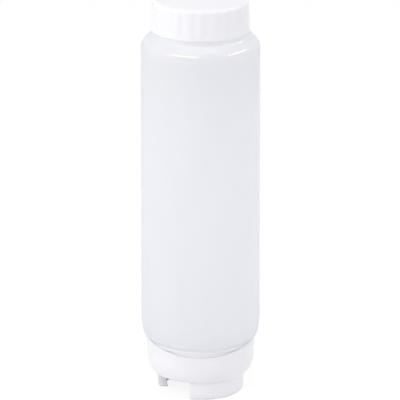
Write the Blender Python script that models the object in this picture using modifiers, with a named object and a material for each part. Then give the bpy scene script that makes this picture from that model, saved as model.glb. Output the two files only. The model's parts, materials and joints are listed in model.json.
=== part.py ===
"""Two-ended squeeze bottle for sauces, standing on its dispensing cap.

The blow-moulded bottle has a neck at each end. The refill cap closes the upper neck over a
sealing disc. The dispensing cap closes the lower neck over a ring gasket, stands on two legs
and holds a slit valve under a press-in retainer. Every round piece turns about the Z axis and
the foot of the legs is at Z = 0.
"""
import math

import bmesh
import bpy
from mathutils import Matrix

MM = 0.001

# Bottle
BODY_DIAMETER = 70.0 * MM
BODY_WALL = 1.4 * MM
BODY_STRAIGHT = 165.0 * MM
UPPER_SHOULDER_HEIGHT = 9.8 * MM
UPPER_SHOULDER_ROUND = 7.0 * MM
LOWER_SHOULDER_HEIGHT = 11.4 * MM
LOWER_SHOULDER_STEP = 1.5 * MM
RING_HEIGHT = 3.1 * MM
RING_ROUND = 1.6 * MM
NECK_FILLET = 1.0 * MM

# Refill cap on the upper neck
REFILL_CAP_DIAMETER = 58.6 * MM
REFILL_CAP_HEIGHT = 18.6 * MM
REFILL_CAP_DRAFT = 0.9 * MM
REFILL_CAP_WALL = 1.9 * MM
REFILL_CAP_TOP = 1.8 * MM
REFILL_CAP_ROUND = 2.5 * MM
REFILL_CAP_GAP = 1.1 * MM
GRIP_FLUTES = 24
GRIP_DEPTH = 0.5 * MM
GRIP_PLAIN_BAND = 1.6 * MM
LINER_THICKNESS = 1.2 * MM
LINER_CLEARANCE = 0.5 * MM

# Dispensing cap on the lower neck
BOWL_RIM_DIAMETER = 63.2 * MM
BOWL_HEIGHT = 17.4 * MM
BOWL_STRAIGHT = 4.8 * MM
BOWL_WALL = 2.0 * MM
BOWL_DRAFT = 1.0 * MM
BOWL_RIM_WALL = 1.2 * MM
BOWL_RIM_ROUND = 0.5 * MM
BOWL_RIM_GAP = 2.6 * MM
BOWL_FLOOR = 2.0 * MM
CHEEK_RISE = 5.2 * MM
CHEEK_FLARE = 0.8 * MM
CHEEK_WALL = 1.0 * MM
CHEEK_CLEARANCE = 0.5 * MM
GASKET_LEDGE_RISE = 3.0 * MM
GASKET_THICKNESS = 1.4 * MM
GASKET_INNER_MARGIN = 1.1 * MM
GASKET_CLEARANCE = 0.5 * MM

# Legs under the dispensing cap
SKIRT_DIAMETER = 51.6 * MM
LEG_HEIGHT = 11.0 * MM
LEG_WALL = 2.0 * MM
LEG_SET_IN = 0.2 * MM
LEG_DRAFT = 0.6 * MM
LEG_EDGE_ROUND = 0.6 * MM
LEG_COUNT = 2
LEG_SWEEP = math.radians(105.0)
LEG_START = math.radians(-105.0)
RIB_THICKNESS = 2.0 * MM
RIB_DEPTH = 5.4 * MM

# Slit valve and its retainer
OUTLET_DIAMETER = 18.0 * MM
OUTLET_CHAMFER = 0.5 * MM
VALVE_FLANGE_DIAMETER = 25.2 * MM
VALVE_FLANGE_THICKNESS = 2.0 * MM
VALVE_HEAD_THICKNESS = 0.8 * MM
VALVE_LIP_DROP = 1.2 * MM
VALVE_LIP_WALL = 1.0 * MM
VALVE_LIP_CLEARANCE = 0.4 * MM
FLAP_SPAN = 10.0 * MM
FLAP_COUNT = 4
SLIT_HALF_WIDTH = 0.2 * MM
SLIT_END_RELIEF = 1.0 * MM
SEAT_BOSS_WALL = 1.8 * MM
SEAT_BOSS_HEIGHT = 5.0 * MM
RETAINER_BORE_DIAMETER = 19.2 * MM
RETAINER_LIP_THICKNESS = 1.4 * MM

# Fits: air left between parts that rest on each other, and the room that a thread takes
SEAT_GAP = 0.3 * MM
THREAD_ROOM = 1.5 * MM

# Mesh fineness
ROUND_STEPS = 48
STEPS_PER_FLUTE = 4
SMOOTH_ANGLE = math.radians(35.0)
WELD_DISTANCE = 0.00001

# Radii
BODY_R = BODY_DIAMETER / 2
REFILL_CAP_R = REFILL_CAP_DIAMETER / 2
REFILL_CAP_TOP_R = REFILL_CAP_R - REFILL_CAP_DRAFT
REFILL_BORE_TOP_R = REFILL_CAP_TOP_R - REFILL_CAP_WALL
UPPER_NECK_R = REFILL_BORE_TOP_R - THREAD_ROOM
BOWL_RIM_R = BOWL_RIM_DIAMETER / 2
BOWL_BORE_R = BOWL_RIM_R - BOWL_WALL
LEDGE_R = BOWL_BORE_R - BOWL_DRAFT
LOWER_NECK_R = LEDGE_R - THREAD_ROOM
LEDGE_INNER_R = LOWER_NECK_R - BODY_WALL - GASKET_INNER_MARGIN - SEAT_GAP
CHEEK_R = BOWL_RIM_R + CHEEK_FLARE
CHEEK_BORE_R = CHEEK_R - CHEEK_WALL
RING_R = CHEEK_BORE_R - CHEEK_CLEARANCE
LOWER_SHOULDER_R = RING_R + LOWER_SHOULDER_STEP
SKIRT_R = SKIRT_DIAMETER / 2
LEG_R = SKIRT_R - LEG_SET_IN
OUTLET_R = OUTLET_DIAMETER / 2
VALVE_FLANGE_R = VALVE_FLANGE_DIAMETER / 2
BOSS_BORE_R = VALVE_FLANGE_R + SEAT_GAP
BOSS_R = BOSS_BORE_R + SEAT_BOSS_WALL

# Levels, from the foot of the legs upwards
FLOOR_UNDER_Z = LEG_HEIGHT
FLOOR_TOP_Z = FLOOR_UNDER_Z + BOWL_FLOOR
LEDGE_Z = FLOOR_TOP_Z + GASKET_LEDGE_RISE
GASKET_Z = LEDGE_Z + SEAT_GAP
LOWER_NECK_END_Z = GASKET_Z + GASKET_THICKNESS + SEAT_GAP
BOWL_RIM_Z = FLOOR_UNDER_Z + BOWL_HEIGHT
CHEEK_TOP_Z = BOWL_RIM_Z + CHEEK_RISE
BODY_BASE_Z = BOWL_RIM_Z + BOWL_RIM_GAP
RING_TOP_Z = BODY_BASE_Z + RING_HEIGHT
STRAIGHT_LOW_Z = RING_TOP_Z + LOWER_SHOULDER_HEIGHT
STRAIGHT_TOP_Z = STRAIGHT_LOW_Z + BODY_STRAIGHT
NECK_ROOT_Z = STRAIGHT_TOP_Z + UPPER_SHOULDER_HEIGHT
REFILL_CAP_Z = NECK_ROOT_Z + REFILL_CAP_GAP
LINER_Z = REFILL_CAP_Z + REFILL_CAP_HEIGHT - REFILL_CAP_TOP - SEAT_GAP - LINER_THICKNESS
UPPER_NECK_END_Z = LINER_Z - SEAT_GAP
VALVE_Z = FLOOR_TOP_Z + SEAT_GAP
RETAINER_Z = VALVE_Z + VALVE_FLANGE_THICKNESS + SEAT_GAP
BOSS_TOP_Z = FLOOR_TOP_Z + SEAT_BOSS_HEIGHT

# Colours, linear RGB, with roughness
MILKY_BODY = ((0.80, 0.81, 0.86), 0.32)
WHITE_CAP = ((0.88, 0.88, 0.92), 0.30)
PALE_FOAM = ((0.82, 0.82, 0.80), 0.70)
CLEAR_SILICONE = ((0.78, 0.79, 0.80), 0.45)


def clear_scene():
    """Remove what the start-up scene holds."""
    for leftover in list(bpy.data.objects):
        bpy.data.objects.remove(leftover, do_unlink=True)


def new_collection(name):
    """Add a collection to the scene."""
    group = bpy.data.collections.new(name)
    bpy.context.scene.collection.children.link(group)
    return group


clear_scene()
PARTS = new_collection("two_ended_squeeze_bottle")
CUTTERS = new_collection("cutters")


def plastic(name, finish):
    """One plain moulded material from a colour and a roughness."""
    colour, roughness = finish
    material = bpy.data.materials.new(name)
    material.use_nodes = True
    shader = material.node_tree.nodes["Principled BSDF"]
    shader.inputs["Base Color"].default_value = (*colour, 1.0)
    shader.inputs["Roughness"].default_value = roughness
    shader.inputs["Metallic"].default_value = 0.0
    return material


def arc(centre, radii, start, end, count):
    """Points on an elliptical arc in the profile plane, ends included, angles in degrees."""
    points = []
    for step in range(count + 1):
        angle = math.radians(start + (end - start) * step / count)
        points.append((centre[0] + radii[0] * math.cos(angle), centre[1] + radii[1] * math.sin(angle)))
    return points


def turned(name, profile, level, closed=True, steps=ROUND_STEPS):
    """A profile of (radius, height) points swept round the Z axis, placed at a level."""
    mesh = bpy.data.meshes.new(name)
    edges = [(i, i + 1) for i in range(len(profile) - 1)]
    if closed:
        edges.append((len(profile) - 1, 0))
    mesh.from_pydata([(r, 0.0, z) for r, z in profile], edges, [])
    piece = bpy.data.objects.new(name, mesh)
    piece.location.z = level
    PARTS.objects.link(piece)
    screw = piece.modifiers.new("turn", "SCREW")
    screw.axis = "Z"
    screw.steps = steps
    screw.render_steps = steps
    screw.use_merge_vertices = True
    screw.merge_threshold = WELD_DISTANCE
    return piece


def lofted(name, front, side):
    """Two closed outlines with matching points, one across the front and back and one across
    the sides, swept round the Z axis into each other."""
    count = len(front)
    spots = []
    faces = []
    for step in range(ROUND_STEPS):
        turn = math.tau * step / ROUND_STEPS
        sideways = math.cos(turn) ** 2
        for (front_r, front_z), (side_r, side_z) in zip(front, side):
            r = front_r + (side_r - front_r) * sideways
            z = front_z + (side_z - front_z) * sideways
            spots.append((r * math.cos(turn), r * math.sin(turn), z))
        here = step * count
        there = (step + 1) % ROUND_STEPS * count
        for i in range(count):
            j = (i + 1) % count
            faces.append((here + i, here + j, there + j))
            faces.append((here + i, there + j, there + i))
    mesh = bpy.data.meshes.new(name)
    mesh.from_pydata(spots, [], faces)
    piece = bpy.data.objects.new(name, mesh)
    PARTS.objects.link(piece)
    return piece


def outline_solid(name, points, low, high):
    """A flat outline filled and given thickness between two heights, as a welded mesh."""
    curve = bpy.data.curves.new(name, "CURVE")
    curve.dimensions = "2D"
    curve.fill_mode = "BOTH"
    curve.extrude = (high - low) / 2
    spline = curve.splines.new("POLY")
    spline.points.add(len(points) - 1)
    for spot, (x, y) in zip(spline.points, points):
        spot.co = (x, y, 0.0, 1.0)
    spline.use_cyclic_u = True
    drawing = bpy.data.objects.new(name + "_drawing", curve)
    PARTS.objects.link(drawing)
    bpy.context.view_layer.update()
    view = bpy.context.evaluated_depsgraph_get()
    mesh = bpy.data.meshes.new_from_object(drawing.evaluated_get(view))
    bpy.data.objects.remove(drawing, do_unlink=True)
    mesh.transform(Matrix.Translation((0.0, 0.0, (low + high) / 2)))
    shape = bmesh.new()
    shape.from_mesh(mesh)
    bmesh.ops.remove_doubles(shape, verts=shape.verts, dist=WELD_DISTANCE)
    bmesh.ops.recalc_face_normals(shape, faces=shape.faces)
    shape.to_mesh(mesh)
    shape.free()
    return bpy.data.objects.new(name, mesh)


def as_cutter(tool):
    """Keep a construction body out of the finished model."""
    CUTTERS.objects.link(tool)
    tool.hide_render = True
    tool.display_type = "WIRE"
    return tool


def combine(piece, tool, operation):
    """Join a construction body to a piece, or cut it out."""
    boolean = piece.modifiers.new(tool.name, "BOOLEAN")
    boolean.operation = operation
    boolean.solver = "EXACT"
    boolean.object = tool


def finish(piece, material):
    """Fix the modifiers' result as the piece's mesh, shade it smooth and give it its material."""
    bpy.context.view_layer.update()
    view = bpy.context.evaluated_depsgraph_get()
    mesh = bpy.data.meshes.new_from_object(piece.evaluated_get(view))
    piece.modifiers.clear()
    piece.data = mesh
    mesh.name = piece.name
    mesh.materials.clear()
    mesh.materials.append(material)
    mesh.shade_smooth()
    mesh.set_sharp_from_angle(angle=SMOOTH_ANGLE)
    return piece


def bottle_body(material):
    """The blow-moulded shell: one outer outline from neck to neck, thickened inwards."""
    round_centre = (BODY_R - UPPER_SHOULDER_ROUND, STRAIGHT_TOP_Z)
    round_radii = (UPPER_SHOULDER_ROUND, UPPER_SHOULDER_ROUND)
    outline = [(UPPER_NECK_R, UPPER_NECK_END_Z)]
    fillet_centre = (UPPER_NECK_R + NECK_FILLET, NECK_ROOT_Z + NECK_FILLET)
    outline += arc(fillet_centre, (NECK_FILLET, NECK_FILLET), 180.0, 270.0, 3)
    outline += [(REFILL_CAP_R - REFILL_CAP_WALL, NECK_ROOT_Z)]
    outline += arc(round_centre, round_radii, 48.0, 0.0, 6)
    shoulder_radii = (BODY_R - LOWER_SHOULDER_R, LOWER_SHOULDER_HEIGHT)
    outline += arc((LOWER_SHOULDER_R, STRAIGHT_LOW_Z), shoulder_radii, 0.0, -80.0, 5)
    outline += [(RING_R, RING_TOP_Z)]
    ring_centre = (RING_R - RING_ROUND, BODY_BASE_Z + RING_ROUND)
    outline += arc(ring_centre, (RING_ROUND, RING_ROUND), 0.0, -90.0, 3)
    fillet_centre = (LOWER_NECK_R + NECK_FILLET, BODY_BASE_Z - NECK_FILLET)
    outline += arc(fillet_centre, (NECK_FILLET, NECK_FILLET), 90.0, 180.0, 3)
    outline += [(LOWER_NECK_R, LOWER_NECK_END_Z)]
    piece = turned("bottle_body", [(r, z - BODY_BASE_Z) for r, z in outline], BODY_BASE_Z, closed=False)
    shell = piece.modifiers.new("wall", "SOLIDIFY")
    shell.thickness = BODY_WALL
    shell.offset = -1.0
    shell.use_even_offset = True
    return finish(piece, material)


def refill_cap(material):
    """Screw cap with a rounded top edge, drafted walls and soft grip flutes."""
    top = REFILL_CAP_HEIGHT
    ceiling = top - REFILL_CAP_TOP
    crown_r = REFILL_CAP_TOP_R - REFILL_CAP_ROUND
    crown_z = top - REFILL_CAP_ROUND
    outline = [(0.0, top)]
    outline += arc((crown_r, crown_z), (REFILL_CAP_ROUND, REFILL_CAP_ROUND), 90.0, 0.0, 5)
    drop = GRIP_PLAIN_BAND
    for level in (2 * drop, drop):
        outline += [(REFILL_CAP_R - REFILL_CAP_DRAFT * level / crown_z, level)]
    outline += [(REFILL_CAP_R, 0.0)]
    outline += [(REFILL_CAP_R - REFILL_CAP_WALL, 0.0)]
    outline += [(REFILL_BORE_TOP_R, ceiling)]
    outline += [(0.0, ceiling)]
    steps = GRIP_FLUTES * STEPS_PER_FLUTE
    piece = turned("refill_cap", outline, REFILL_CAP_Z, closed=False, steps=steps)
    finish(piece, material)
    for spot in piece.data.vertices:
        reach = math.hypot(spot.co.x, spot.co.y)
        wall_r = REFILL_CAP_R - REFILL_CAP_DRAFT * spot.co.z / crown_z
        on_grip = drop < spot.co.z + WELD_DISTANCE and spot.co.z < crown_z + WELD_DISTANCE
        if on_grip and abs(reach - wall_r) < WELD_DISTANCE:
            fade = min(1.0, (spot.co.z - drop) / drop)
            turn = math.atan2(spot.co.y, spot.co.x)
            dip = GRIP_DEPTH * fade * (1.0 - math.cos(GRIP_FLUTES * turn)) / 2
            spot.co.x *= (reach - dip) / reach
            spot.co.y *= (reach - dip) / reach
    return piece


def refill_cap_liner(material):
    """Flat sealing disc between the refill cap and the upper neck."""
    edge_r = REFILL_BORE_TOP_R - LINER_CLEARANCE
    outline = [(0.0, LINER_THICKNESS), (edge_r, LINER_THICKNESS), (edge_r, 0.0), (0.0, 0.0)]
    return finish(turned("refill_cap_liner", outline, LINER_Z, closed=False), material)


def leg_outline(start):
    """Seen from below: an arc wall whose two ends turn inwards as ribs."""
    inner_r = LEG_R - LEG_WALL
    rib_r = LEG_R - RIB_DEPTH
    rib_turn = RIB_THICKNESS / LEG_R
    end = start + LEG_SWEEP
    count = max(4, round(LEG_SWEEP / math.tau * ROUND_STEPS))
    outer = [(LEG_R, start + LEG_SWEEP * i / count) for i in range(count + 1)]
    first = start + rib_turn
    span = LEG_SWEEP - 2 * rib_turn
    inner = [(inner_r, first + span * i / count) for i in range(count + 1)]
    polar = outer + [(rib_r, end), (rib_r, end - rib_turn)] + inner[::-1]
    polar += [(rib_r, start + rib_turn), (rib_r, start)]
    return [(r * math.cos(turn), r * math.sin(turn)) for r, turn in polar]


def leg(number):
    """One leg: drafted inwards to its foot, with rounded edges, its top sunk in the cap floor."""
    start = LEG_START + number * math.tau / LEG_COUNT
    body = outline_solid(f"leg_{number + 1}", leg_outline(start), 0.0, LEG_HEIGHT + BOWL_FLOOR / 2)
    draw_in = (LEG_R - LEG_DRAFT) / LEG_R
    for spot in body.data.vertices:
        if spot.co.z < LEG_HEIGHT / 2:
            spot.co.x *= draw_in
            spot.co.y *= draw_in
    rounding = body.modifiers.new("edges", "BEVEL")
    rounding.width = LEG_EDGE_ROUND
    rounding.segments = 2
    rounding.limit_method = "ANGLE"
    rounding.angle_limit = SMOOTH_ANGLE
    return as_cutter(body)


def rim_outline(rim_r, rim_bore_r, rim_z, low_z):
    """The top of the bowl's wall, from its bore over the rounded rim to its outside."""
    rim_centre = (rim_r - BOWL_RIM_ROUND, rim_z - BOWL_RIM_ROUND)
    outline = [(rim_bore_r, low_z), (rim_bore_r, rim_z)]
    outline += arc(rim_centre, (BOWL_RIM_ROUND, BOWL_RIM_ROUND), 90.0, 0.0, 2)
    return outline + [(rim_r, low_z)]


def dispensing_cap(material):
    """Bowl-shaped screw cap whose rim rises to a cheek at each side, with a valve seat in its
    floor and two legs under it."""
    curve_z = BOWL_RIM_Z - BOWL_STRAIGHT
    front_low_z = BOWL_RIM_Z - 2 * BOWL_RIM_ROUND
    front_rim = rim_outline(BOWL_RIM_R, BOWL_RIM_R - BOWL_RIM_WALL, BOWL_RIM_Z, front_low_z)
    side_low_z = (BOWL_RIM_Z + CHEEK_TOP_Z) / 2 - CHEEK_FLARE
    side_rim = rim_outline(CHEEK_R, CHEEK_BORE_R, CHEEK_TOP_Z, side_low_z)
    curve_radii = (BOWL_RIM_R - SKIRT_R, curve_z - FLOOR_UNDER_Z)
    outline = arc((SKIRT_R, curve_z), curve_radii, 0.0, -90.0, 8)
    outline = [(BOWL_RIM_R, (BOWL_RIM_Z + curve_z) / 2)] + outline
    outline += [(OUTLET_R + OUTLET_CHAMFER, FLOOR_UNDER_Z)]
    outline += [(OUTLET_R, FLOOR_UNDER_Z + OUTLET_CHAMFER)]
    outline += [(OUTLET_R, FLOOR_TOP_Z)]
    outline += [(BOSS_BORE_R, FLOOR_TOP_Z), (BOSS_BORE_R, BOSS_TOP_Z)]
    outline += [(BOSS_R, BOSS_TOP_Z), (BOSS_R, FLOOR_TOP_Z)]
    outline += [(LEDGE_INNER_R, FLOOR_TOP_Z), (LEDGE_INNER_R, LEDGE_Z)]
    outline += [(LEDGE_R, LEDGE_Z), (BOWL_BORE_R, (BOWL_RIM_Z + curve_z) / 2)]
    piece = lofted("dispensing_cap", front_rim + outline, side_rim + outline)
    for number in range(LEG_COUNT):
        combine(piece, leg(number), "UNION")
    return finish(piece, material)


def neck_gasket(material):
    """Flat ring between the lower neck and the ledge in the dispensing cap."""
    inner_r = LEDGE_INNER_R + SEAT_GAP
    outer_r = LEDGE_R - GASKET_CLEARANCE
    top = GASKET_THICKNESS
    outline = [(inner_r, top), (outer_r, top), (outer_r, 0.0), (inner_r, 0.0)]
    return finish(turned("neck_gasket", outline, GASKET_Z), material)


def valve_body(material):
    """Flange, thin head and outlet lip of the valve, with the square window of its flaps."""
    lip_r = OUTLET_R - VALVE_LIP_CLEARANCE
    lip_bore_r = lip_r - VALVE_LIP_WALL
    flange_bore_r = RETAINER_BORE_DIAMETER / 2
    outline = [(0.0, VALVE_HEAD_THICKNESS), (flange_bore_r, VALVE_HEAD_THICKNESS)]
    outline += [(flange_bore_r, VALVE_FLANGE_THICKNESS), (VALVE_FLANGE_R, VALVE_FLANGE_THICKNESS)]
    outline += [(VALVE_FLANGE_R, 0.0), (lip_r, 0.0), (lip_r, -VALVE_LIP_DROP)]
    outline += [(lip_bore_r, -VALVE_LIP_DROP), (lip_bore_r, 0.0), (0.0, 0.0)]
    piece = turned("valve_body", outline, VALVE_Z, closed=False)
    half = FLAP_SPAN / 2
    corners = [(half, half), (-half, half), (-half, -half), (half, -half)]
    low = VALVE_Z - VALVE_LIP_DROP
    high = VALVE_Z + VALVE_FLANGE_THICKNESS
    combine(piece, as_cutter(outline_solid("flap_window", corners, low, high)), "DIFFERENCE")
    return finish(piece, material)


def valve_flap(number, material):
    """One of the flaps between the crossed slits, hinged on its outer lower edge."""
    hinge_r = FLAP_SPAN / 2 - SEAT_GAP
    reach = hinge_r - SLIT_HALF_WIDTH * math.sqrt(2.0)
    base = reach - SLIT_END_RELIEF
    corners = [(-base, 0.0), (base, 0.0), (base, SLIT_END_RELIEF), (0.0, reach), (-base, SLIT_END_RELIEF)]
    piece = outline_solid(f"valve_flap_{number + 1}", corners, 0.0, VALVE_HEAD_THICKNESS)
    turn = number * math.tau / FLAP_COUNT
    piece.location = (hinge_r * math.sin(turn), -hinge_r * math.cos(turn), VALVE_Z)
    piece.rotation_euler.z = turn
    PARTS.objects.link(piece)
    return finish(piece, material)


def valve_retainer(material):
    """Ring pressed into the seat boss above the valve, with a lip over the boss."""
    bore_r = RETAINER_BORE_DIAMETER / 2
    plug_r = BOSS_BORE_R - SEAT_GAP
    lip_low = BOSS_TOP_Z + SEAT_GAP - RETAINER_Z
    top = lip_low + RETAINER_LIP_THICKNESS
    outline = [(bore_r, top), (BOSS_R, top), (BOSS_R, lip_low)]
    outline += [(plug_r, lip_low), (plug_r, 0.0), (bore_r, 0.0)]
    return finish(turned("valve_retainer", outline, RETAINER_Z), material)


def build():
    """Make every piece of the bottle in its place."""
    bottle_body(plastic("milky_body", MILKY_BODY))
    refill_cap(plastic("white_refill_cap", WHITE_CAP))
    refill_cap_liner(plastic("pale_liner", PALE_FOAM))
    dispensing_cap(plastic("white_dispensing_cap", WHITE_CAP))
    neck_gasket(plastic("pale_gasket", PALE_FOAM))
    valve_body(plastic("clear_valve", CLEAR_SILICONE))
    for number in range(FLAP_COUNT):
        valve_flap(number, plastic(f"clear_flap_{number + 1}", CLEAR_SILICONE))
    valve_retainer(plastic("white_retainer", WHITE_CAP))


build()
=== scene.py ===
"""Looks of a two-ended squeeze bottle for sauces, built around its packed model.

The milky bottle, its two screw caps, the seals and the slit valve are modelled as fine meshes
that ride on the bodies of the packed model and stand in for its plain solids.
"""
import json
import math

import bmesh
import bpy
from bpy.props import FloatProperty, FloatVectorProperty, IntProperty, PointerProperty
from bpy.types import Operator, Panel, PropertyGroup
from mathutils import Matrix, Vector


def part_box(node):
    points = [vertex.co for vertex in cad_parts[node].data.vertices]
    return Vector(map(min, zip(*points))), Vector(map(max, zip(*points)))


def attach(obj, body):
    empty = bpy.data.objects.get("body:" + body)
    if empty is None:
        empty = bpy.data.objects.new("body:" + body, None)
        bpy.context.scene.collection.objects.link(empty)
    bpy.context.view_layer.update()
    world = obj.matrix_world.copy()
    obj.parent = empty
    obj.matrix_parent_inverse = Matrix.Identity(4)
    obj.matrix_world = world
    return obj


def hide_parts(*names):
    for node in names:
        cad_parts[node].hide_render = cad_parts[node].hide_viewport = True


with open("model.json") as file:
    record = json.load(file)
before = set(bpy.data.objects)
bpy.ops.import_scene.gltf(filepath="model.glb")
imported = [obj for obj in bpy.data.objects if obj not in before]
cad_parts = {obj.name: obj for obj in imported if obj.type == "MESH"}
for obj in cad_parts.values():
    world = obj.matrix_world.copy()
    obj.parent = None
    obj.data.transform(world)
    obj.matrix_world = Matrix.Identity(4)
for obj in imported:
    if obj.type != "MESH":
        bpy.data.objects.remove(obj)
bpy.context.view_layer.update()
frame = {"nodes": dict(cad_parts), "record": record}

bl_info = {
    "name": "Two-ended squeeze bottle",
    "version": (1, 0, 0),
    "blender": (4, 5, 0),
    "location": "View3D > Sidebar > Squeeze Bottle",
    "description": "Builds a milky squeeze bottle with a refill cap and a dispensing cap",
    "category": "Add Mesh",
}

MM = 0.001

# Directions on a profile in degrees: away from the axis, up, towards the axis and straight down,
# which is 270 on an arc that starts at IN and -90 on one that starts at OUT
OUT, UP, IN, DOWN, UNDER = 0.0, 90.0, 180.0, 270.0, -90.0

# Fineness of the meshes
SMOOTH_ANGLE = math.radians(32.0)
CORNER_ANGLE = math.radians(40.0)
CORNER_STEPS = 4
CORNER_SHARE = 0.45
ROUND_STEPS = 192
TURN_DECIMALS = 6
POLE_R = 0.01 * MM
MERGE_DISTANCE = 0.003 * MM

# Bottle: where the curves of its outline start and end, in degrees
SHOULDER_FALL = 48.0
TUCK_END = -80.0
INNER_TUCK_END = -75.0
BEAD_START = 60.0
WALL_ROWS = 24

# Threads: the bead's section in shares of half its width and of its height, the room that is
# left free at their ends, and the turn that they start at, in radians
THREAD_STEPS = 96
THREAD_BEAD = (
    (-1.0, 0.0), (-0.82, 0.45), (-0.5, 0.92), (-0.3, 1.0),
    (0.3, 1.0), (0.5, 0.92), (0.82, 0.45), (1.0, 0.0),
)
UPPER_ROOT_ROOM = 2.6 * MM
UPPER_MOUTH_ROOM = 2.0 * MM
REFILL_THREAD_ROOM = 1.6 * MM
UPPER_THREAD_START = 0.6
LOWER_MOUTH_ROOM = 1.8 * MM
LOWER_RING_ROOM = 5.0 * MM
BOWL_THREAD_ROOM = 2.6 * MM
LOWER_THREAD_START = 2.1

# Refill cap and sealing disc
GRIP_ROWS = 14
FLUTE_STEPS = 12
FLUTE_RUN_OUT = 0.7
GATE_FLAT = 0.7
GATE_SURROUND = 1.5
DISC_DENT = 0.12 * MM
DENT_SLOPE = 0.2 * MM
DISC_ROUND = 0.2 * MM

# Dispensing cap, gasket and retainer
RIM_SHARE = 0.7
RIM_ROWS = 8
LEG_STEPS = 56
LEG_CURVE_ROWS = 6
LEG_EDGE_ANGLE = math.radians(50.0)
LEG_EDGE_STEPS = 4
GASKET_ROOM = 0.3 * MM
GASKET_ROUND = 0.45 * MM
LIP_ROOM = 0.3 * MM
PLUG_ROOM = 0.3 * MM
RETAINER_ROOM = 0.6 * MM
RETAINER_CHAMFER = 0.5 * MM
RETAINER_ROUND = 0.25 * MM

# Slit valve
VALVE_MERGE = 0.001 * MM
VALVE_FLAT = math.radians(1.0)
VALVE_ROUND = 0.1 * MM
VALVE_EDGE_STEPS = 2

# Finishes
TONE_LOW, TONE_HIGH = 0.3, 0.7
EVEN_SCATTER = (1.0, 1.0, 1.0)
WHITE = (1.0, 1.0, 1.0, 1.0)

# Stage: each lamp's name, the settings that it takes its size and power from, and where it stands
# as seen from the bottle; which lamps don't show in gloss and which ones only do; the light that
# reaches the open floor; and the camera's fixed values
LAMPS = (
    ("left_softbox", "key", (-0.541, -0.718, 0.438)),
    ("left_panel", "panel", (-0.95, -0.2, 0.25)),
    ("right_softbox", "side", (0.937, -0.066, 0.342)),
    ("left_strip", "strip", (-0.45, -0.615, 0.647)),
    ("right_strip", "strip", (0.83, -0.02, 0.55)),
    ("top_panel", "top", (0.0, 0.0, 1.0)),
)
DULL_LAMPS = ("key", "side")
GLOSS_LAMPS = ("strip",)
FLOOR_LIGHT = 0.8
FLOOR_CELLS = 8
FLOOR_GAP = 0.05 * MM
IMAGE_WIDTH = 400
SENSOR_WIDTH = 36.0
VIEW_END = 100.0


def node_radius(name):
    """Half the width of a solid of the packed model."""
    low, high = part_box(name)
    return (high.x - low.x) / 2


def node_levels(name):
    """Lowest and highest level of a solid of the packed model."""
    low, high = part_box(name)
    return low.z, high.z


BODY_R = node_radius("bottle_body")
NECK_LOW_Z, NECK_TOP_Z = node_levels("bottle_body")
REFILL_R = node_radius("refill_cap")
REFILL_LOW_Z, REFILL_TOP_Z = node_levels("refill_cap")
CHEEK_R = node_radius("dispensing_cap")
BOWL_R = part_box("dispensing_cap")[1].y
FOOT_Z, CHEEK_TOP_Z = node_levels("dispensing_cap")


def setting(kind, convert=None, **limits):
    """A kind of setting; its defaults are written in the unit that convert takes."""

    def made(name, description, default):
        value = convert(default) if convert else default
        return kind(name=name, description=description, default=value, **limits)

    return made


def metres(millimetres):
    """A size given in millimetres."""
    return millimetres * MM


# Kinds of settings: lengths are written in millimetres, turns in degrees and powers in watts
length = setting(FloatProperty, metres, min=0.0, precision=5, unit="LENGTH")
angle = setting(FloatProperty, math.radians, subtype="ANGLE")
power = setting(FloatProperty, unit="POWER")
number = setting(IntProperty, min=1)
share = setting(FloatProperty, min=0.0, max=1.0, subtype="FACTOR")
tint = setting(FloatVectorProperty, size=3, min=0.0, max=1.0, subtype="COLOR")


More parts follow.
